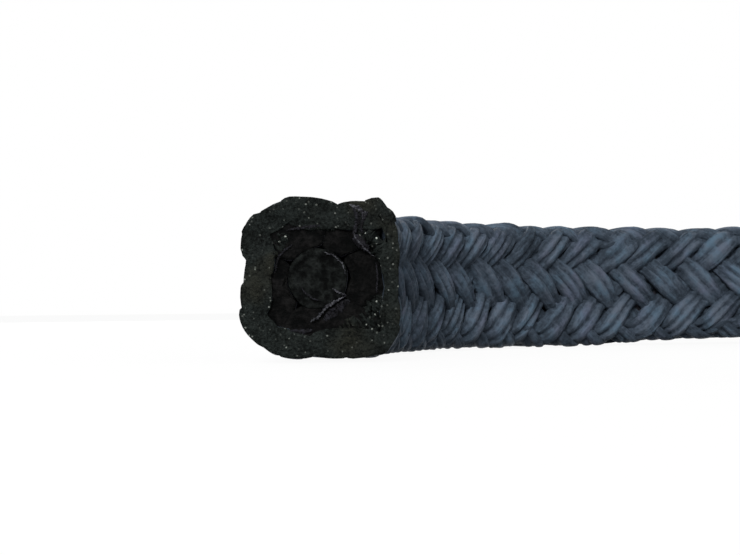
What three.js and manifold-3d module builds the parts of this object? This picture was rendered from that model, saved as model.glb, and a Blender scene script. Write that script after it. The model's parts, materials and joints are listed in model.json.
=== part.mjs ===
// Gland packing ring: a length of square braided packing cord, cut square at both ends and bent
// to three quarters of a circle with short straight ends, ready to be pushed onto a shaft.
// The ring's axis is +Z and its lower side lies on the plane z = 0.
import * as THREE from 'three';
import { mergeVertices } from 'three/addons/utils/BufferGeometryUtils.js';
import Module from 'manifold-3d';

// Driving dimensions, in millimetres.
const SECTION_SIDE = 12; // over the crests of the strands
const INNER_CORNER_RADIUS = 1.9; // on the side that faces the ring's axis
const OUTER_CORNER_RADIUS = 3.3; // on the stretched side
const SHAFT_DIAMETER = 60; // the length is cut to close around this shaft
const STRAIGHT_END = 9; // unbent length at each cut
const BEND_ANGLE = THREE.MathUtils.degToRad(270);

// Braid: a float is the stretch of a strand that lies on top, and the floats lie in columns along
// the cord. In turn round the cord, one column's floats climb along it and the next one's fall back.
const COLUMN_WIDTH = 3.6;
const STITCH_PITCH = 4.5; // along the cord, from one float to the next
const STITCH_SHIFT = 3; // from the first cut to the start of a float
const GROOVE_DEPTH = 0.9; // from the crest of a float down to the groove beside it
const CREST_LENGTH = 0.6; // flat part of a float, as a share of the column's width
const CREST_WIDTH = 0.62; // and as a share of the pitch

// Core: one round strand in the middle and strands pressed between it and the jacket.
const WALL = 2.15; // thickness of the braided jacket
const BORE_CORNER_RADIUS = 1.4;
const CENTRE_STRAND_DIAMETER = 4.3;
const OUTER_CORE_STRAND_WIDTH = 5.4; // along the jacket
const CORE_START = 0.1; // where the first outer strand begins, as a share of the way round
const CORE_CLEARANCE = 0.25;

// Fineness of the smooth walls.
const BEND_STEPS = 30;
const CENTRE_STRAND_SIDES = 10;
const OUTER_STRAND_POINTS = 4; // along the side that is pressed against the jacket
const INNER_STRAND_TURN = THREE.MathUtils.degToRad(40); // most between points on the centre strand

// Sizes that follow.
const cordLength = Math.PI * (SHAFT_DIAMETER + SECTION_SIDE);
const arcLength = cordLength - 2 * STRAIGHT_END;
const meanRadius = arcLength / BEND_ANGLE;
const stitches = Math.round(cordLength / STITCH_PITCH);
const pitch = cordLength / stitches;
const boreSide = SECTION_SIDE - 2 * WALL;
const spareStitches = 2; // braided past each cut, before the cord is trimmed

const wasm = await Module();
wasm.setup();

const jacketMaterial = new THREE.MeshStandardMaterial({
  color: 0x3f4851,
  roughness: 0.55,
  metalness: 0.1,
});
const coreMaterial = new THREE.MeshStandardMaterial({
  color: 0x1e2022,
  roughness: 0.75,
  metalness: 0.05,
});

// The cord is modelled straight, along +Z, with +X away from the ring's axis and +Y up. This
// lays a point of the straight cord on the bent one: straight end, arc, straight end.
function bendPoint(point) {
  const along = point.z - STRAIGHT_END;
  const onArc = THREE.MathUtils.clamp(along, 0, arcLength);
  const past = along - onArc;
  const angle = Math.PI - onArc / meanRadius;
  const radius = meanRadius + point.x;
  return new THREE.Vector3(
    radius * Math.cos(angle) + past * Math.sin(angle),
    radius * Math.sin(angle) - past * Math.cos(angle),
    point.y + SECTION_SIDE / 2,
  );
}

function bend(geometry) {
  const position = geometry.getAttribute('position');
  const point = new THREE.Vector3();
  for (let i = 0; i < position.count; i += 1) {
    point.copy(bendPoint(point.fromBufferAttribute(position, i)));
    position.setXYZ(i, point.x, point.y, point.z);
  }
  return geometry;
}

// A square with round corners. It starts at the top of the side that faces the ring's axis and
// runs down that side, outwards along the bottom, up and back along the top.
function roundedSquare(side, innerRadius, outerRadius = innerRadius) {
  const inner = side / 2 - innerRadius;
  const outer = side / 2 - outerRadius;
  const shape = new THREE.Shape();
  shape.moveTo(-side / 2, inner);
  shape.lineTo(-side / 2, -inner);
  shape.absarc(-inner, -inner, innerRadius, Math.PI, 1.5 * Math.PI, false);
  shape.absarc(outer, -outer, outerRadius, 1.5 * Math.PI, 2 * Math.PI, false);
  shape.absarc(outer, outer, outerRadius, 0, 0.5 * Math.PI, false);
  shape.absarc(-inner, inner, innerRadius, 0.5 * Math.PI, Math.PI, false);
  return shape;
}

// Extrudes a section along the straight cord, with steps at the same places for every piece,
// so that neighbouring walls stay parallel once they are bent. It can run some steps past both cuts.
function extrudeAlongCord(shape, stepsPast, curveSegments) {
  const step = cordLength / BEND_STEPS;
  const steps = BEND_STEPS + 2 * stepsPast;
  const geometry = new THREE.ExtrudeGeometry(shape, {
    depth: steps * step,
    steps,
    curveSegments,
    bevelEnabled: false,
  });
  geometry.translate(0, 0, -stepsPast * step);
  return geometry;
}

function toSolid(geometry) {
  geometry.deleteAttribute('normal');
  geometry.deleteAttribute('uv');
  const merged = mergeVertices(geometry);
  return new wasm.Manifold(new wasm.Mesh({
    numProp: 3,
    vertProperties: merged.getAttribute('position').array,
    triVerts: Uint32Array.from(merged.getIndex().array),
  }));
}

function toMesh(name, solid, material) {
  const { vertProperties, triVerts } = solid.getMesh();
  const geometry = new THREE.BufferGeometry();
  geometry.setAttribute('position', new THREE.BufferAttribute(vertProperties, 3));
  geometry.setIndex(new THREE.BufferAttribute(triVerts, 1));
  const flat = geometry.toNonIndexed();
  flat.computeVertexNormals();
  const mesh = new THREE.Mesh(flat, material);
  mesh.name = name;
  return mesh;
}

// A point of the braid's outer surface, or some depth under it. The share of the way round is
// counted from the corner between the top and the side that faces the ring's axis.
const outline = roundedSquare(SECTION_SIDE, INNER_CORNER_RADIUS, OUTER_CORNER_RADIUS);
const columns = 2 * Math.round(outline.getLength() / (2 * COLUMN_WIDTH));
const halfCornerShare = (Math.PI * INNER_CORNER_RADIUS) / 4 / outline.getLength();

function braidPoint(share, depth, z) {
  const t = THREE.MathUtils.euclideanModulo(share - halfCornerShare, 1);
  const point = outline.getPoint(t);
  const tangent = outline.getTangent(t);
  return [point.x - tangent.y * depth, point.y + tangent.x * depth, z];
}

// The outside of the braid, closed to a solid that is a little longer than the cord. Each float
// crosses its column within one pitch, and next to it the neighbouring columns' floats start half
// a pitch further on.
function braidGeometry() {
  const positions = [];
  const triangles = [];
  const borderVertices = new Map();

  function addVertex(share, depth, z) {
    positions.push(...braidPoint(share, depth, z));
    return positions.length / 3 - 1;
  }

  // A point in the groove between two columns, counted in half pitches along the cord.
  function borderVertex(column, halfPitches) {
    const border = column % columns;
    const key = `${border} ${halfPitches}`;
    if (!borderVertices.has(key)) {
      const z = STITCH_SHIFT + halfPitches * pitch / 2;
      borderVertices.set(key, addVertex(border / columns, GROOVE_DEPTH, z));
    }
    return borderVertices.get(key);
  }

  // A float is a ridge with a flat crest over a six-sided foot in the grooves. The crest's corners
  // go round it from the one nearest to the column's first border and the first cut.
  function addFloat(column, start, climb) {
    const end = start + 2 * climb;
    const [a0, a1, a2] = [-1, 0, 1].map((side) => borderVertex(column, start + side));
    const [b0, b1, b2] = [-1, 0, 1].map((side) => borderVertex(column + 1, end + side));
    const [c0, c1, c2, c3] = [[-1, -1], [1, -1], [1, 1], [-1, 1]].map(([across, side]) => {
      const share = 0.5 + across * CREST_LENGTH / 2;
      const middle = STITCH_SHIFT + (start / 2 + climb * share) * pitch;
      return addVertex((column + share) / columns, 0, middle + side * CREST_WIDTH * pitch / 2);
    });
    triangles.push(c0, c1, c2, c0, c2, c3);
    triangles.push(a0, b0, c1, a0, c1, c0);
    triangles.push(c3, c2, b2, c3, b2, a2);
    triangles.push(a0, c0, a1, a1, c0, c3, a1, c3, a2);
    triangles.push(b0, b1, c1, b1, c2, c1, b1, b2, c2);
  }

  for (let column = 0; column < columns; column += 1) {
    const climb = column % 2 === 1 ? 1 : -1;
    const first = -2 * spareStitches - climb + (column % 2);
    for (let stitch = 0; stitch < stitches + 2 * spareStitches; stitch += 1) {
      addFloat(column, first + 2 * stitch, climb);
    }
  }

  // Closes both ends: every open edge is joined to a point on the cord's centreline.
  const firstEnd = positions.push(0, 0, -spareStitches * pitch) / 3 - 1;
  const lastEnd = positions.push(0, 0, cordLength + spareStitches * pitch) / 3 - 1;
  const edges = new Set();
  for (let i = 0; i < triangles.length; i += 3) {
    for (let side = 0; side < 3; side += 1) {
      edges.add(`${triangles[i + side]} ${triangles[i + (side + 1) % 3]}`);
    }
  }
  for (const edge of edges) {
    const [from, to] = edge.split(' ').map(Number);
    if (!edges.has(`${to} ${from}`)) {
      triangles.push(to, from, positions[3 * from + 2] < cordLength / 2 ? firstEnd : lastEnd);
    }
  }

  const geometry = new THREE.BufferGeometry();
  geometry.setAttribute('position', new THREE.Float32BufferAttribute(positions, 3));
  geometry.setIndex(triangles);
  return geometry;
}

// The braided jacket, hollow for the core and cut square at both ends.
function jacket() {
  const bore = extrudeAlongCord(roundedSquare(boreSide, BORE_CORNER_RADIUS), 2, 1);
  let solid = toSolid(bend(braidGeometry())).subtract(toSolid(bend(bore)));
  const cutterLength = 3 * spareStitches * pitch;
  for (const z of [-cutterLength / 2, cordLength + cutterLength / 2]) {
    const cutter = new THREE.BoxGeometry(2 * SECTION_SIDE, 2 * SECTION_SIDE, cutterLength);
    cutter.translate(0, 0, z);
    solid = solid.subtract(toSolid(bend(cutter)));
  }
  return toMesh('braided_jacket', solid, jacketMaterial);
}

function coreStrand(name, shape, curveSegments) {
  const solid = toSolid(bend(extrudeAlongCord(shape, 0, curveSegments)));
  return toMesh(name, solid, coreMaterial);
}

function centreStrand() {
  const circle = new THREE.Shape();
  circle.absarc(0, 0, CENTRE_STRAND_DIAMETER / 2, 0, 2 * Math.PI, false);
  return coreStrand('core_centre_strand', circle, CENTRE_STRAND_SIDES / 2);
}

// An outer core strand fills its share of the room between the centre strand and the bore.
const room = roundedSquare(boreSide - 2 * CORE_CLEARANCE, BORE_CORNER_RADIUS - CORE_CLEARANCE);
const outerStrands = Math.round(room.getLength() / OUTER_CORE_STRAND_WIDTH);

function outerStrand(number) {
  const halfGap = CORE_CLEARANCE / 2 / room.getLength();
  const start = CORE_START + number / outerStrands + halfGap;
  const end = CORE_START + (number + 1) / outerStrands - halfGap;
  const outer = [];
  for (let i = 0; i < OUTER_STRAND_POINTS; i += 1) {
    const share = THREE.MathUtils.lerp(start, end, i / (OUTER_STRAND_POINTS - 1));
    outer.push(room.getPoint(THREE.MathUtils.euclideanModulo(share, 1)));
  }
  const innerRadius = CENTRE_STRAND_DIAMETER / 2 + CORE_CLEARANCE;
  const firstAngle = outer[0].angle();
  const turn = THREE.MathUtils.euclideanModulo(outer.at(-1).angle() - firstAngle, 2 * Math.PI);
  const inner = [];
  const innerSteps = Math.ceil(turn / INNER_STRAND_TURN);
  for (let i = 0; i <= innerSteps; i += 1) {
    const angle = firstAngle + turn * (1 - i / innerSteps);
    inner.push(new THREE.Vector2(innerRadius * Math.cos(angle), innerRadius * Math.sin(angle)));
  }
  return coreStrand(`core_strand_${number + 1}`, new THREE.Shape([...outer, ...inner]), 1);
}

const ring = new THREE.Group();
ring.name = 'gland_packing_ring';
ring.add(jacket(), centreStrand());
for (let number = 0; number < outerStrands; number += 1) {
  ring.add(outerStrand(number));
}

export default ring;
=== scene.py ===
import json
import math

import bpy
import numpy as np
from mathutils import Matrix, Vector

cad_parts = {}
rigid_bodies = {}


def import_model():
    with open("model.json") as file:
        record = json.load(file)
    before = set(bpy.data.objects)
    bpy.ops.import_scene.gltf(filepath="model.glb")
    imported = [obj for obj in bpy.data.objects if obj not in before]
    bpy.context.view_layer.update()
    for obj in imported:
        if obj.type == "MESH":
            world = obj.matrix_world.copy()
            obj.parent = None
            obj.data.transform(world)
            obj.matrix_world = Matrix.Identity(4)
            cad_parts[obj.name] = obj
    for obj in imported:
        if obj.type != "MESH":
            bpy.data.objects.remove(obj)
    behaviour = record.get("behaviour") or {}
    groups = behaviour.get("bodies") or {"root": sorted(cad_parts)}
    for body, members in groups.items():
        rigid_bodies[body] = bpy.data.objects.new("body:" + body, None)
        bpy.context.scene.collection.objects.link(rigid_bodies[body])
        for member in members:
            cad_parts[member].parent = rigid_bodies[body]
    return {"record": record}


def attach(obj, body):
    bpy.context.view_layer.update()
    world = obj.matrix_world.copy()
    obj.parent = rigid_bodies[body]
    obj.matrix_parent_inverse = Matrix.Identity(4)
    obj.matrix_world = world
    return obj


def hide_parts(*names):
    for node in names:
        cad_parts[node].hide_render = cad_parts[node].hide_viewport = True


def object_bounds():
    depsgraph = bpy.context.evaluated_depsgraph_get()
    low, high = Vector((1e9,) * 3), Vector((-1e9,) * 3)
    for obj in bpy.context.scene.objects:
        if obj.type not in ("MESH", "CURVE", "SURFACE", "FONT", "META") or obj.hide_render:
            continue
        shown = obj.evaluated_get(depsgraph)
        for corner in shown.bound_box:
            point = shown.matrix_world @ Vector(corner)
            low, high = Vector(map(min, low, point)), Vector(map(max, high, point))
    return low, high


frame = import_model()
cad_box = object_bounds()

# Camera: close to the first cut and a little under the middle of the packing, looking past it
# along the first straight stretch, with a long lens.
MM = 0.001
mounts = {mount["name"]: mount["pos_m"] for mount in frame["record"]["mounts"]}
section_side = mounts["gland_face"][2] - mounts["seat_face"][2]
outer_radius = cad_box[1].x
mean_radius = outer_radius - section_side / 2
FOCAL_PIXELS = 1600
PHOTO_WIDTH = 740
SENSOR_WIDTH = 36
CAMERA_PAST_INNER_SIDE = -2.1 * MM
CAMERA_DISTANCE = 124.9 * MM
CAMERA_HEIGHT = 3.5 * MM
CAMERA_PITCH = math.radians(1.16)
CAMERA_ROLL = math.radians(-0.6)

camera_data = bpy.data.cameras.new("photo_camera")
camera_data.sensor_width = SENSOR_WIDTH
camera_data.lens = FOCAL_PIXELS / PHOTO_WIDTH * SENSOR_WIDTH
camera_data.clip_start = 0.005
camera = bpy.data.objects.new("photo_camera", camera_data)
bpy.context.scene.collection.objects.link(camera)
camera.location = (
    -mean_radius + section_side / 2 + CAMERA_PAST_INNER_SIDE,
    mounts["butt_end_a"][1] - CAMERA_DISTANCE,
    CAMERA_HEIGHT,
)
camera.rotation_euler = (
    Matrix.Rotation(math.pi / 2 + CAMERA_PITCH, 3, "X") @ Matrix.Rotation(CAMERA_ROLL, 3, "Z")
).to_euler()
bpy.context.scene.camera = camera
bpy.context.scene.view_settings.view_transform = "Standard"

# Braided jacket: twenty-four strands of graphite yarn, half of them climbing one way round the
# cord and half the other. Each passes over two of the others and then under two, and all are cut
# off square with the cord. A strand is a flat bundle of two or three soft plies, which fray to
# more and flatter ones towards the cuts. Sizes are across the cord and lengths along it.
BEND = math.radians(270)
COLUMNS = 12
STITCHES = 50
STITCH_SHIFT = 3.0 * MM
OUTER_CORNER_RADIUS = 3.3 * MM
INNER_CORNER_RADIUS = 1.9 * MM
STRAND_WIDTH = 2.78 * MM
STRAND_THICKNESS = 1.42 * MM
PINCH = 0.22
UNDER_WIDTH = 0.2
WALL_MIDDLE = 1.12 * MM
WAVE_HEIGHT = 0.5 * MM
WAVE_FLATNESS = 0.6
PLY_GROOVE = 0.56
SECTION_FULLNESS = 0.22
FRAYED_PLIES = 3.4
FRAYED_LENGTH = 16 * MM
FRAYED_HIGHLIGHT_FADE = 0.85
FRAYED_LEVEL = 0.78
FRAYED_WIDTH = 0.12
FRAYED_THICKNESS = 0.18
STEPS_PER_STITCH = 12
STRAND_SIDES = 30
TOP_FINENESS = 0.12
SPARE_LENGTH = 3 * MM
FLARE = np.array([0.035, 0.036])
FLARE_LENGTH = 2.5 * MM
LIFT = 0.3 * MM
UNEVENNESS = 0.02
UNEVEN_LENGTH = 180 * MM
THICKEST = 35 * MM
BORE_BEFORE = np.array([-6, -3.7, -2.25, 2.25, 3.7, 6]) * MM
BORE_AT_CUT = np.array([-6, -4.75, -2.05, 2.45, 3.64, 6]) * MM
BORE_SHIFT_LENGTH = 4 * MM
BED_HEIGHT = 0.06 * MM
BED_SOFTNESS = 0.16 * MM
CORNER_PRESS = 0.11
CORNER_PRESS_LENGTH = 7 * MM
DROOP = 0.22 * MM
DROOP_LENGTH = 22 * MM
SAG_PLACES = np.array([0, 8, 25, 38, 50, 58, 68, 80]) * MM
SAG_SHARES = (0.05, 0.085, 0.07, 0.065, 0.09, 0.10, 0.03, 0)
SMEAR_WIDTH = 0.42
SMEAR_THICKNESS = 0.92
SMEAR_LEVEL = 0.45
SMEAR_FULLNESS = 0.16
SMEAR_LENGTH = 0.7 * MM
PUSHED_IN = 0.3 * MM
PUSHED_IN_RANGE = (-0.4, 0.8)
PUSHED_IN_LENGTH = 1.5 * MM
MOST_PROUD = 0.08
PATH_WANDER = 0.045
HEIGHT_WANDER = 0.06 * MM
SWELLING = 0.09
ROLL = 0.2
PLY_WANDER = 0.16
HIGHLIGHT_SPREAD = 0.4

straight_end = -mounts["butt_end_a"][1]
arc_length = BEND * mean_radius
cord_length = arc_length + 2 * straight_end
pitch = cord_length / STITCHES
lead = COLUMNS * pitch
rng = np.random.default_rng(11)


def bend_points(points):
    """Lays points of the straight cord, which runs up Z, along straight end, arc, straight end."""
    along = points[:, 2] - straight_end
    on_arc = np.clip(along, 0, arc_length)
    past = along - on_arc
    angle = math.pi - on_arc / mean_radius
    radius = mean_radius + points[:, 0]
    return np.stack([
        radius * np.cos(angle) + past * np.sin(angle),
        radius * np.sin(angle) - past * np.cos(angle),
        points[:, 1] + section_side / 2,
    ], axis=1)


def section_outline():
    """The points of the section's outline and the outward normals there, with each one's share of
    the way round. It starts in the corner between the top and the side that faces the axis."""
    corners = [
        (-1, 1, INNER_CORNER_RADIUS, 135, 180),
        (-1, -1, INNER_CORNER_RADIUS, 180, 270),
        (1, -1, OUTER_CORNER_RADIUS, 270, 360),
        (1, 1, OUTER_CORNER_RADIUS, 360, 450),
        (-1, 1, INNER_CORNER_RADIUS, 450, 495),
    ]
    places, normals = [], []
    for out, up, radius, first, last in corners:
        turn = np.radians(np.linspace(first, last, 13))
        normal = np.stack([np.cos(turn), np.sin(turn)], axis=1)
        places.append(np.array([out, up]) * (section_side / 2 - radius) + radius * normal)
        normals.append(normal)
    places = np.concatenate(places)
    steps = np.linalg.norm(np.diff(places, axis=0), axis=1)
    return np.append(0, np.cumsum(steps)) / steps.sum(), places, np.concatenate(normals)


outline_shares, outline_places, outline_normals = section_outline()


def on_section(share, depth):
    """Points at some depth under the section's outline, and the outward normals there."""
    def looked_up(table):
        columns = [np.interp(share % 1, outline_shares, column) for column in table.T]
        return np.stack(columns, axis=1)

    normal = looked_up(outline_normals)
    return looked_up(outline_places) - normal * depth[:, None], normal


def slow_noise(z, spacing, size):
    """A smooth random line along the cord."""
    values = rng.normal(0, size, int((cord_length + 4 * SPARE_LENGTH) / spacing) + 4)
    place = (z + 2 * SPARE_LENGTH) / spacing
    before = np.floor(place).astype(int)
    share = place - before
    share = share * share * (3 - 2 * share)
    return values[before] * (1 - share) + values[before + 1] * share


def from_cut(z, length):
    """One at the cuts, and fading away from them along the cord."""
    return np.exp(-np.clip(np.minimum(z, cord_length - z), 0, None) / length)


def settle(points):
    """Gives the straight cord the uneven form of a used length. Its lower side sags near the first
    cut, and at both cuts it droops and flares, with pressed corners and a bore off its middle."""
    along = points[:, 2]
    shift = np.interp(points[:, 0], BORE_BEFORE, BORE_AT_CUT)
    shift -= np.clip(points[:, 0], BORE_BEFORE[0], BORE_BEFORE[-1])
    points[:, 0] += shift * from_cut(along, BORE_SHIFT_LENGTH)
    pressed = np.clip(np.abs(points[:, 0] * points[:, 1]) / (section_side / 2) ** 2, 0, 1) ** 2
    pressed *= CORNER_PRESS * from_cut(along, CORNER_PRESS_LENGTH)
    points[:, :2] *= 1 - pressed[:, None]
    points[:, 1] *= 1 + np.interp(along, SAG_PLACES, SAG_SHARES) * (points[:, 1] < 0)
    points[:, 1] -= DROOP * from_cut(along, DROOP_LENGTH)
    thickness = 1 + UNEVENNESS * np.cos(2 * math.pi * (along - THICKEST) / UNEVEN_LENGTH)
    flaring = from_cut(along, FLARE_LENGTH)
    points[:, 1] += LIFT * flaring
    points[:, :2] *= thickness[:, None] + FLARE * flaring[:, None]
    return points


def read_points(piece):
    points = np.empty(len(piece.data.vertices) * 3)
    piece.data.vertices.foreach_get("co", points)
    return points.reshape(-1, 3)


def write_points(piece, points):
    piece.data.vertices.foreach_set("co", points.ravel())
    piece.data.update()


def add_yarn(name, steps, sides, materials):
    """A sheet of faces to roll up to a yarn, and each point's step along it and share round it."""
    bpy.ops.object.select_all(action="DESELECT")
    bpy.ops.mesh.primitive_grid_add(x_subdivisions=steps, y_subdivisions=sides, size=1)
    piece = bpy.context.object
    piece.name = name
    piece.data.name = name
    for material in materials:
        piece.data.materials.append(material)
    grid = read_points(piece) + 0.5
    return piece, np.rint(grid[:, 0] * steps).astype(int), grid[:, 1]


def trim_and_bend(piece, cuts, rings):
    """Closes the seam, cuts the yarn off square at two places along the cord, closes each cut with
    rings of faces, given as shrinkage and rise, and bends the yarn with the cord."""
    bpy.ops.object.mode_set(mode="EDIT")
    bpy.ops.mesh.select_mode(type="VERT")
    bpy.ops.mesh.select_all(action="SELECT")
    bpy.ops.mesh.remove_doubles(threshold=1e-6)
    for z, cleared, outward in zip(cuts, ("clear_inner", "clear_outer"), (-1, 1)):
        bpy.ops.mesh.select_all(action="SELECT")
        bpy.ops.mesh.bisect(
            plane_co=(0, 0, z), plane_no=(0, 0, 1), threshold=1e-7, **{cleared: True},
        )
        piece.update_from_editmode()
        cut = [vertex.co for vertex in piece.data.vertices if vertex.select]
        middle = sum(cut, Vector()) / len(cut)
        for shrinkage, rise in rings:
            bpy.ops.mesh.extrude_region_move()
            bpy.ops.transform.resize(value=(shrinkage, shrinkage, 1), center_override=middle)
            bpy.ops.transform.translate(value=(0, 0, outward * rise))
        bpy.ops.mesh.merge(type="CENTER")
        for _ in rings:
            bpy.ops.mesh.select_more()
        piece.active_material_index = 1
        bpy.ops.object.material_slot_assign()
    bpy.ops.object.mode_set(mode="OBJECT")
    bpy.ops.object.shade_smooth()
    write_points(piece, bend_points(read_points(piece)))


def braid_strand(name, start, climb):
    """One strand: start is where it crosses the first corner, climb is 1 or -1."""
    steps = int((cord_length + 2 * SPARE_LENGTH) / pitch * STEPS_PER_STITCH)
    z = np.linspace(-SPARE_LENGTH, cord_length + SPARE_LENGTH, steps + 1)
    share = climb * (z + slow_noise(z, 1.4 * pitch, PATH_WANDER * pitch) - start) / lead
    wave = -climb * np.sin(COLUMNS * math.pi * share)
    height = WAVE_HEIGHT * np.tanh(WAVE_FLATNESS * wave) / math.tanh(WAVE_FLATNESS)
    height += slow_noise(z, 0.9 * pitch, HEIGHT_WANDER)
    smear = from_cut(z, SMEAR_LENGTH)
    frayed = from_cut(z, FRAYED_LENGTH)
    height *= (1 - SMEAR_LEVEL * smear) * (1 - FRAYED_LEVEL * frayed)
    height -= rng.uniform(*PUSHED_IN_RANGE) * PUSHED_IN * from_cut(z, PUSHED_IN_LENGTH)
    place, normal = on_section(share, WALL_MIDDLE - height)
    line = np.column_stack([place, z])
    along = np.gradient(line, axis=0)
    along /= np.linalg.norm(along, axis=1)[:, None]
    up = np.column_stack([normal, np.zeros(len(z))])
    up -= (up * along).sum(axis=1)[:, None] * along
    up /= np.linalg.norm(up, axis=1)[:, None]
    across = np.cross(along, up)

    swelling = slow_noise(z, 1.1 * pitch, SWELLING)
    pinched = (1 - np.abs(wave) ** 0.9) * (1 - smear)
    half_width = STRAND_WIDTH / 2 * (1 - PINCH * pinched + UNDER_WIDTH * np.clip(-wave, 0, 1))
    half_width *= (1 + swelling) * (1 + SMEAR_WIDTH * smear) * (1 + FRAYED_WIDTH * frayed)
    half_thickness = STRAND_THICKNESS / 2 * (1 - 0.4 * swelling)
    half_thickness *= (1 + SMEAR_THICKNESS * smear) * (1 - FRAYED_THICKNESS * frayed)
    roll = slow_noise(z, 1.5 * pitch, ROLL)
    ply_shift = slow_noise(z, 0.9 * pitch, PLY_WANDER) * (1 + frayed)
    plies = rng.choice([2, 2, 3]) + FRAYED_PLIES * frayed
    # How strong the painted crest highlight is, varying from float to float.
    highlight_strength = 1 + slow_noise(z, 0.8 * pitch, HIGHLIGHT_SPREAD)

    piece, step, round_share = add_yarn(name, steps, STRAND_SIDES, [yarn_material, cut_material])
    turn = 2 * math.pi * round_share
    turn += TOP_FINENESS * np.sin(2 * turn)
    x = np.cos(turn)
    fullness = SECTION_FULLNESS + SMEAR_FULLNESS * smear[step]
    y = np.sign(np.sin(turn)) * np.abs(np.sin(turn)) ** (1 - fullness)
    ply_place = plies[step] * (x + 1) / 2 + ply_shift[step]
    ply_top = np.abs(np.sin(math.pi * ply_place))
    # Painted highlight: this attribute lightens the base colour on the top of each float that
    # passes over, most along each ply's ridge. It is weaker on the frayed ends near the cuts.
    crest_highlight = piece.data.attributes.new("crest_highlight", "FLOAT", "POINT")
    painted_highlight = np.clip(wave[step], 0, 1) ** 1.5 * ply_top * np.sqrt(np.clip(np.sin(turn), 0, 1))
    painted_highlight *= highlight_strength[step] * (1 - FRAYED_HIGHLIGHT_FADE * frayed[step])
    crest_highlight.data.foreach_set("value", painted_highlight)
    groove = PLY_GROOVE * (1 - ply_top) * (1 - np.abs(x) ** 6) * (1 - smear[step])
    x *= half_width[step]
    y *= half_thickness[step] * (1 - groove)
    cos, sin = np.cos(roll[step]), np.sin(roll[step])
    points = line[step] + across[step] * (x * cos - y * sin)[:, None]
    points += up[step] * (x * sin + y * cos)[:, None]
    bed = BED_HEIGHT - section_side / 2
    points[:, 1] = bed + BED_SOFTNESS * np.logaddexp(0, (points[:, 1] - bed) / BED_SOFTNESS)
    write_points(piece, settle(points))
    proud = rng.uniform(0, MOST_PROUD) * MM
    trim_and_bend(piece, (0, cord_length), [(0.9, proud), (0.8, 0.03 * MM), (0.7, 0), (0.5, 0)])
    return piece


class Field:
    """A number that varies over the surface, for use in plain arithmetic."""

    def __init__(self, shader, socket):
        self.shader = shader
        self.socket = socket

    def __add__(self, other):
        return self.shader.math("ADD", self, other)

    def __mul__(self, other):
        return self.shader.math("MULTIPLY", self, other)

    def __rsub__(self, other):
        return self.shader.math("SUBTRACT", other, self)

    __rmul__ = __mul__


class Shader:
    """A material being built, and one way to add any node to it."""

    def __init__(self, name):
        self.material = bpy.data.materials.new(name)
        self.material.use_nodes = True
        self.tree = self.material.node_tree
        self.surface = self.tree.nodes["Principled BSDF"]

    def node(self, kind, settings, sockets):
        """Adds a node: its type, its settings, and the values or links of its sockets."""
        node = self.tree.nodes.new(kind)
        for key, value in settings.items():
            setattr(node, key, value)
        for key, value in sockets.items():
            self.connect(node.inputs[key], value)
        return node

    def connect(self, socket, value):
        if isinstance(value, Field):
            value = value.socket
        if isinstance(value, bpy.types.NodeSocket):
            self.tree.links.new(value, socket)
        else:
            socket.default_value = value

    def math(self, operation, *values):
        node = self.node("ShaderNodeMath", {"operation": operation}, dict(enumerate(values)))
        return Field(self, node.outputs[0])

    def noise(self, place, scale, detail, roughness):
        sockets = {"Vector": place, "Scale": scale, "Detail": detail, "Roughness": roughness}
        return Field(self, self.node("ShaderNodeTexNoise", {}, sockets).outputs["Fac"])

    def stretched(self, place, scale):
        node = self.node("ShaderNodeMapping", {}, {"Vector": place, "Scale": scale})
        return node.outputs["Vector"]

    def between(self, value, low, high):
        sockets = {"Value": value, "From Min": low, "From Max": high}
        node = self.node("ShaderNodeMapRange", {"interpolation_type": "SMOOTHSTEP"}, sockets)
        return Field(self, node.outputs["Result"])

    def mix(self, factor, first, second):
        sockets = {"Factor": factor, 6: first, 7: second}
        return self.node("ShaderNodeMix", {"data_type": "RGBA"}, sockets).outputs[2]

    def bump(self, height, distance, strength):
        sockets = {"Height": height, "Distance": distance, "Strength": strength}
        node = self.node("ShaderNodeBump", {}, sockets)
        self.connect(self.surface.inputs["Normal"], node.outputs["Normal"])


def graphite_yarn():
    shader = Shader("graphite_yarn")
    along = shader.node("ShaderNodeUVMap", {}, {}).outputs["UV"]
    place = shader.node("ShaderNodeTexCoord", {}, {}).outputs["Object"]
    crest_highlight = shader.node("ShaderNodeAttribute", {"attribute_name": "crest_highlight"}, {}).outputs["Fac"]
    fibres = shader.noise(shader.stretched(along, (160, 22, 1)), 1.0, 4, 0.6)
    fuzz = shader.noise(place, 2100, 3, 0.6)
    patches = shader.noise(place, 420, 3, 0.6)
    tone = shader.between(fibres * 0.3 + fuzz * 0.4 + patches * 0.3, 0.38, 0.64)
    # Painted highlight: where the crest attribute is high, the base colour shifts from the dark
    # yarn colour to a lighter, bluer one, blended with the fibres' random tone. The light colour
    # below is that painted highlight, with cold and violet hue patches.
    tone_and_highlight = shader.between(Field(shader, crest_highlight) + 0.6 * tone, 0.1, 1.4)
    cold = shader.between(shader.noise(place, 480, 3, 0.6), 0.38, 0.68)
    light = shader.mix(cold, (0.106, 0.130, 0.168, 1), (0.093, 0.147, 0.203, 1))
    violet = shader.between(shader.noise(place, 300, 2, 0.5), 0.48, 0.70)
    light = shader.mix(violet * 0.6, light, (0.122, 0.132, 0.192, 1))
    dark = shader.mix(tone, (0.031, 0.041, 0.055, 1), (0.054, 0.072, 0.096, 1))
    shader.connect(shader.surface.inputs["Base Color"], shader.mix(tone_and_highlight, dark, light))
    shader.connect(shader.surface.inputs["Roughness"], 0.60 - 0.18 * tone_and_highlight)
    shader.surface.inputs["Specular IOR Level"].default_value = 0.04
    shader.surface.inputs["Specular Tint"].default_value = (0.62, 0.82, 1, 1)
    shader.bump(fibres + fuzz, 0.0002, 0.7)
    return shader.material


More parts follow.
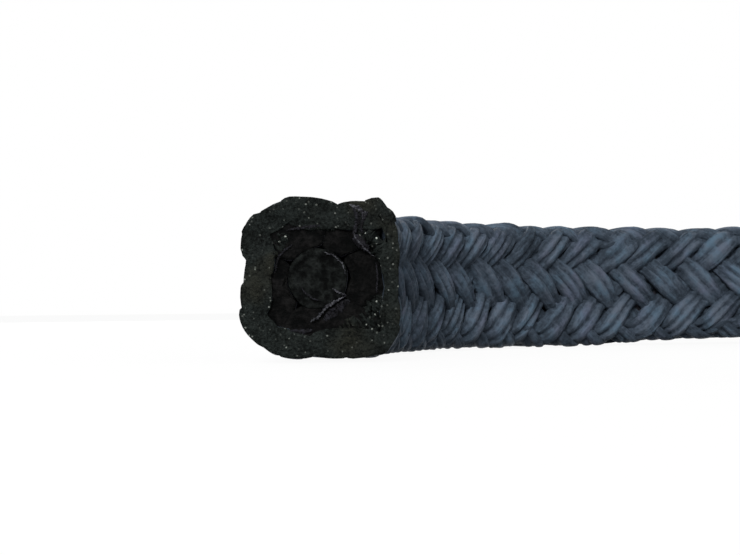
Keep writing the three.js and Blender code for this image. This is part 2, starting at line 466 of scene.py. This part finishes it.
def cut_yarn_ends():
    shader = Shader("cut_yarn_ends")
    place = shader.node("ShaderNodeTexCoord", {}, {}).outputs["Object"]
    grain = shader.noise(place, 4300, 3, 0.7)
    smears = shader.noise(place, 800, 3, 0.6)
    tone = shader.between(grain * 0.6 + smears * 0.4, 0.34, 0.70)
    colour = shader.mix(tone, (0.0015, 0.002, 0.0018, 1), (0.026, 0.032, 0.030, 1))
    brown = shader.between(shader.noise(place, 230, 2, 0.5), 0.5, 0.72)
    colour = shader.mix(brown * tone * 0.5, colour, (0.034, 0.029, 0.015, 1))
    flakes = shader.node("ShaderNodeTexVoronoi", {}, {"Vector": place, "Scale": 2500})
    near = shader.between(0.26 - Field(shader, flakes.outputs["Distance"]), 0.0, 0.14)
    chosen = shader.between(Field(shader, flakes.outputs["Color"]), 0.30, 0.9)
    colour = shader.mix(near * chosen, colour, (0.60, 0.64, 0.58, 1))
    shader.connect(shader.surface.inputs["Base Color"], colour)
    shader.surface.inputs["Roughness"].default_value = 0.75
    shader.surface.inputs["Specular IOR Level"].default_value = 0.05
    shader.bump(grain * 0.7 + smears, 0.0004, 1.0)
    return shader.material


yarn_material = graphite_yarn()
cut_material = cut_yarn_ends()
for number in range(2 * COLUMNS):
    climbs = number < COLUMNS
    way = "climbing" if climbs else "falling"
    start = STITCH_SHIFT + (number % COLUMNS) * pitch + (0 if climbs else pitch / 2)
    strand = braid_strand(f"{way}_strand_{number % COLUMNS + 1:02d}", start, 1 if climbs else -1)
    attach(strand, "root")
    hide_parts("braided_jacket")

# Core: six untwisted strands of the same yarn that fill the jacket. The round one lies in the
# middle and the five others are pressed between it and the jacket, each to its own shape. The
# knife has left their ends a little below the jacket's.
CORE_SIDES = 48
CORE_STEPS = 100
CENTRE_RADIUS = 2.25 * MM
CAVITY_HALF = 4.35 * MM
CORE_GAP = 0.02 * MM
CORE_OVERLAP = 1.5
CORE_BOUNDARIES = (40, 82, 150, 232, 322)
CORE_RECESSES = (0.34, 0.16, 0.40, 0.20, 0.62)
CENTRE_RECESS = 0.12 * MM
BOTH_RECESSES = 0.8 * MM
CAVITY_SQUARENESS = 5
ACROSS_FULLNESS = 0.4
OUTWARD_FULLNESS = 0.5
CENTRE_RIDGES = 0.02
PACKED_RIDGES = 0.10 * MM
RIDGE_COUNTS = (3, 5, 8, 13)
LARGEST_PHASE = 6.3


def core_noise(size):
    """Ridges of single fibre bundles round a core strand."""
    turn = np.linspace(0, 2 * math.pi, CORE_SIDES + 1)
    return sum(
        rng.normal(0, size / 2) * np.cos(count * turn + rng.uniform(0, LARGEST_PHASE))
        for count in RIDGE_COUNTS
    )


def core_strand(name, section, recesses, rings, end_material):
    """One strand of the core, from its section, given as points round the middle of the cord."""
    materials = [core_material, end_material]
    piece, step, round_share = add_yarn(name, CORE_STEPS, CORE_SIDES, materials)
    z = np.linspace(-SPARE_LENGTH, cord_length + SPARE_LENGTH, CORE_STEPS + 1)[step]
    side = np.rint(round_share * CORE_SIDES).astype(int)
    write_points(piece, settle(np.column_stack([section[side], z])))
    trim_and_bend(piece, (recesses[0], cord_length - recesses[1]), rings)
    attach(piece, "root")
    return piece


def core_yarn():
    shader = Shader("core_yarn")
    along = shader.node("ShaderNodeUVMap", {}, {}).outputs["UV"]
    fibres = shader.noise(shader.stretched(along, (60, 60, 1)), 1.0, 4, 0.6)
    colour = shader.mix(fibres, (0.012, 0.014, 0.018, 1), (0.080, 0.080, 0.100, 1))
    shader.connect(shader.surface.inputs["Base Color"], colour)
    shader.surface.inputs["Roughness"].default_value = 0.6
    shader.surface.inputs["Specular IOR Level"].default_value = 0.2
    shader.bump(fibres, 0.0003, 0.8)
    return shader.material


def cut_core_ends(name, light):
    shader = Shader(name)
    place = shader.node("ShaderNodeTexCoord", {}, {}).outputs["Object"]
    grain = shader.noise(place, 1900, 4, 0.7)
    streaks = shader.noise(shader.stretched(place, (850, 850, 1100)), 1.0, 4, 0.6)
    tone = shader.between(grain * 0.5 + streaks * 0.5, 0.42, 0.72)
    colour = shader.mix(tone, (0.0008, 0.001, 0.001, 1), light)
    shader.connect(shader.surface.inputs["Base Color"], colour)
    shader.surface.inputs["Roughness"].default_value = 0.75
    shader.surface.inputs["Specular IOR Level"].default_value = 0.04
    shader.bump(streaks + grain * 0.5, 0.0004, 0.9)
    return shader.material


core_material = core_yarn()
centre_end = cut_core_ends("cut_centre_end", (0.019, 0.022, 0.021, 1))
packed_end = cut_core_ends("cut_packed_ends", (0.012, 0.0115, 0.0115, 1))
turn = np.linspace(0, 2 * math.pi, CORE_SIDES + 1)
bundle = 1 + core_noise(CENTRE_RIDGES)
circle = np.column_stack([np.cos(turn), np.sin(turn)]) * (CENTRE_RADIUS * bundle)[:, None]
centre_rings = [
    (0.94, 0.08 * MM), (0.9, 0), (0.85, -0.12 * MM), (0.8, 0.02 * MM), (0.6, 0.03 * MM), (0.5, 0),
]
recesses = (CENTRE_RECESS, CENTRE_RECESS)
centre = core_strand("centre_strand", circle, recesses, centre_rings, centre_end)
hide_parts("core_centre_strand")

for number, first in enumerate(CORE_BOUNDARIES):
    last = (*CORE_BOUNDARIES, CORE_BOUNDARIES[0] + 360)[number + 1]
    across = -np.sign(np.cos(turn)) * np.abs(np.cos(turn)) ** ACROSS_FULLNESS
    outwards = np.sign(np.sin(turn)) * np.abs(np.sin(turn)) ** OUTWARD_FULLNESS
    seen_angle = np.radians((first + last) / 2 + ((last - first) / 2 + CORE_OVERLAP) * across)
    towards = np.abs([np.cos(seen_angle), np.sin(seen_angle)])
    cavity = CAVITY_HALF / (towards ** CAVITY_SQUARENESS).sum(axis=0) ** (1 / CAVITY_SQUARENESS)
    inner = CENTRE_RADIUS + CORE_GAP
    radius = inner + (cavity - inner) * (0.5 + 0.5 * outwards) + core_noise(PACKED_RIDGES)
    section = np.column_stack([-np.cos(seen_angle), np.sin(seen_angle)]) * radius[:, None]
    recess = CORE_RECESSES[number] * MM
    strand = core_strand(
        f"packed_strand_{number + 1}", section, (recess, BOTH_RECESSES - recess),
        [(0.92, 0.07 * MM), (0.88, 0.03 * MM), (0.8, -0.06 * MM), (0.6, 0), (0.5, 0)], packed_end,
    )
    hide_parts(f"core_strand_{number + 1}")

# Torn fibres: where the knife has dragged at the first cut, fibres stand up from it as pale and
# dim ragged folds, round the middle strand and along a split in the jacket's upper corner, and
# tatters of the jacket hang over the edge of the core. The pale folds' colour is partly painted
# highlight, standing for the light caught by raised rims and fold edges. Each is a width, how far
# it stands proud and a path over the cut, in millimetres from the middle of the cord.
FOLD_STEPS = 70
FOLD_SIDES = 12
FOLD_WANDER = 0.035
FOLD_FLATNESS = 0.6
# Pale folds: real fibres whose light colour also stands for a painted highlight, the light caught
# by raised rims and fold edges, the middle strand's rim among them.
PALE_FOLDS = (
    ("middle_fold", 0.26, 0.12,
     ((0.85, -3.4), (0.15, -3.05), (-0.35, -2.35), (-1.1, -1.85), (-2.0, -1.4))),
    ("middle_fold_tip", 0.16, 0.10, ((-1.0, -0.8), (-1.5, -1.15), (-2.05, -1.35))),
    ("corner_fold", 0.40, 0.06, ((-2.3, 5.75), (-3.0, 5.5), (-3.5, 5.0), (-3.35, 4.6))),
    ("corner_tail", 0.13, 0.05, ((-2.6, 3.6), (-2.9, 3.0), (-3.4, 2.4), (-4.2, 1.7))),
    ("centre_rim", 0.10, 0.10, ((-0.2, 2.05), (-1.05, 1.8), (-1.8, 1.05), (-2.05, 0.2))),
)
DIM_FOLDS = (
    ("middle_slope", 0.9, -0.25, ((-0.1, -3.4), (-0.9, -2.7), (-1.6, -2.2), (-2.3, -1.7))),
    ("corner_slope", 0.55, 0.0, ((-2.6, 5.5), (-3.0, 4.9), (-2.95, 4.2), (-2.6, 3.4))),
    ("corner_split", 0.24, 0.13, ((-3.8, 5.2), (-3.45, 4.6), (-3.2, 4.0), (-3.3, 3.5))),
    ("corner_shelf", 0.9, -0.25, ((-2.7, 3.3), (-3.1, 2.9), (-3.8, 2.1))),
    ("upper_streak", 0.34, -0.02, ((2.6, 3.75), (1.4, 4.0), (0.2, 4.15), (-0.4, 4.1))),
    ("lower_streak", 0.36, -0.02, ((2.5, -4.0), (1.4, -4.15), (0.6, -4.0))),
    ("left_streak", 0.14, 0.04, ((3.5, 0.4), (3.3, 1.6), (2.7, 2.3), (2.0, 2.7))),
    ("right_streak", 0.12, 0.04, ((-4.35, 1.2), (-4.5, 0.2), (-4.4, -1.2))),
    ("centre_arc", 0.12, 0.08, ((1.5, -0.6), (1.1, -1.2), (0.5, -1.6), (-0.1, -1.7))),
)
WALL_FOLDS = (
    ("upper_tatter", 1.8, -0.50, ((4.2, 1.0), (3.7, 2.2), (3.1, 3.1), (2.2, 4.0))),
    ("lower_tatter", 1.9, -0.52,
     ((-5.0, -1.2), (-4.3, -2.4), (-3.5, -3.3), (-2.2, -3.9), (-0.6, -4.3))),
    ("corner_tatter", 1.4, -0.38, ((-5.3, -2.4), (-4.7, -3.6), (-3.4, -4.4))),
    ("split_tatter", 1.5, -0.42,
     ((-2.7, 4.6), (-3.4, 3.8), (-4.2, 3.1), (-4.8, 2.0), (-5.0, 1.0))),
    ("top_tatter", 0.9, -0.26, ((1.6, 4.4), (0.4, 4.0), (-0.9, 4.1), (-2.2, 4.4))),
)


def torn_fold(name, width, proud, path, material):
    """A flat, ragged roll of fibres along a path over the cut."""
    piece, step, round_share = add_yarn(name, FOLD_STEPS, FOLD_SIDES, [material])
    share = np.linspace(0, 1, FOLD_STEPS + 1)
    knots = np.linspace(0, 1, len(path))
    line = np.column_stack([np.interp(share, knots, column) for column in np.array(path).T])
    line += rng.normal(0, FOLD_WANDER, line.shape)
    tangent = np.gradient(line, axis=0)
    tangent /= np.linalg.norm(tangent, axis=1)[:, None]
    half_width = width / 2 * np.sin(math.pi * share) ** 0.5 * rng.uniform(0.5, 1.2, FOLD_STEPS + 1)
    turn = 2 * math.pi * round_share
    x = np.cos(turn) * half_width[step]
    y = np.sin(turn) * half_width[step] * FOLD_FLATNESS
    across = np.column_stack([-tangent[:, 1], tangent[:, 0]])
    place = line[step] + across[step] * x[:, None]
    write_points(piece, np.column_stack([place, -proud - y]) * MM)
    bpy.ops.object.mode_set(mode="EDIT")
    bpy.ops.mesh.select_all(action="SELECT")
    bpy.ops.mesh.remove_doubles(threshold=1e-7)
    bpy.ops.mesh.normals_make_consistent(inside=False)
    bpy.ops.object.mode_set(mode="OBJECT")
    bpy.ops.object.shade_smooth()
    write_points(piece, bend_points(read_points(piece)))
    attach(piece, "root")


def torn_fibres(name, dark, light):
    shader = Shader(name)
    place = shader.node("ShaderNodeTexCoord", {}, {}).outputs["Object"]
    fibres = shader.noise(shader.stretched(place, (2600, 900, 2600)), 1.0, 4, 0.7)
    tone = shader.between(fibres, 0.40, 0.66)
    shader.connect(shader.surface.inputs["Base Color"], shader.mix(tone, dark, light))
    shader.surface.inputs["Roughness"].default_value = 0.6
    shader.surface.inputs["Specular IOR Level"].default_value = 0.12
    shader.bump(fibres, 0.0003, 1.0)
    return shader.material


# Painted highlight in part: the pale fibres are about as light as the yarn's painted crest
# highlight.
pale_fibres_and_highlight = torn_fibres("torn_fibres_painted_highlight", (0.006, 0.006, 0.009, 1), (0.120, 0.122, 0.138, 1))
dim_fibres = torn_fibres("dim_torn_fibres", (0.002, 0.002, 0.003, 1), (0.022, 0.022, 0.028, 1))
all_folds = ((PALE_FOLDS, pale_fibres_and_highlight), (DIM_FOLDS, dim_fibres), (WALL_FOLDS, cut_material))
for folds, material in all_folds:
    for name, width, proud, path in folds:
        torn_fold(name, width, proud, path, material)

# Floor and light: a plain white floor, a soft key lamp in front and to the left, a wide one to
# the right and a third behind, and a dim white sky that looks fully white past the floor's edge.
bpy.ops.object.select_all(action="DESELECT")
bpy.ops.mesh.primitive_plane_add(size=6, location=(0, 0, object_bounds()[0].z))
floor = bpy.context.object
floor.name = "floor"
WHITE_SHARE = 0.94
SEEN_GREY = (0.9, 0.9, 0.9, 1)
BOUNCE_GREY = (0.15, 0.15, 0.15, 1)
SKY_STRENGTH = 0.2
floor_shader = Shader("white_floor")
floor_shader.surface.inputs["Roughness"].default_value = 0.9
rays = floor_shader.node("ShaderNodeLightPath", {}, {}).outputs
floor_colour = floor_shader.mix(rays["Is Camera Ray"], BOUNCE_GREY, SEEN_GREY)
floor_shader.connect(floor_shader.surface.inputs["Base Color"], floor_colour)
mirrored = Field(floor_shader, rays["Is Glossy Ray"]) + rays["Is Transmission Ray"]
direct = mirrored + rays["Is Camera Ray"]
white = floor_shader.node("ShaderNodeEmission", {}, {"Color": (1, 1, 1, 1), "Strength": 1.0})
blend = floor_shader.node("ShaderNodeMixShader", {}, {
    0: direct * WHITE_SHARE, 1: floor_shader.surface.outputs[0], 2: white.outputs[0],
})
output = floor_shader.tree.nodes["Material Output"]
floor_shader.connect(output.inputs["Surface"], blend.outputs[0])
floor.data.materials.append(floor_shader.material)

world = bpy.data.worlds.new("studio")
bpy.context.scene.world = world
world.use_nodes = True
nodes, links = world.node_tree.nodes, world.node_tree.links
nodes["Background"].inputs["Color"].default_value = (1, 1, 1, 1)
nodes["Background"].inputs["Strength"].default_value = SKY_STRENGTH
seen_white = nodes.new("ShaderNodeBackground")
seen_white.inputs["Color"].default_value = (1, 1, 1, 1)
seen_white.inputs["Strength"].default_value = 1.0
light_path = nodes.new("ShaderNodeLightPath")
sky = nodes.new("ShaderNodeMixShader")
seen = light_path.outputs["Is Camera Ray"]
for ray in ("Is Glossy Ray", "Is Transmission Ray"):
    total = nodes.new("ShaderNodeMath")
    total.operation = "ADD"
    total.use_clamp = True
    links.new(seen, total.inputs[0])
    links.new(light_path.outputs[ray], total.inputs[1])
    seen = total.outputs[0]
links.new(seen, sky.inputs[0])
links.new(nodes["Background"].outputs[0], sky.inputs[1])
links.new(seen_white.outputs[0], sky.inputs[2])
links.new(sky.outputs[0], nodes["World Output"].inputs["Surface"])


def soft_lamp(name, location, size, power):
    data = bpy.data.lights.new(name, "AREA")
    data.size = size
    data.energy = power
    lamp = bpy.data.objects.new(name, data)
    bpy.context.scene.collection.objects.link(lamp)
    lamp.location = location
    target = np.array([-mean_radius, 0, section_side / 2])
    direction = target - np.array(location)
    lamp.rotation_euler = Vector(direction).to_track_quat("-Z", "Y").to_euler()


soft_lamp("key_lamp", (-0.14, -0.48, 0.29), 0.20, 2.9)
soft_lamp("side_lamp", (0.45, -0.24, 0.26), 0.65, 0.9)
soft_lamp("back_lamp", (-0.30, 0.42, 0.20), 0.5, 2.6)
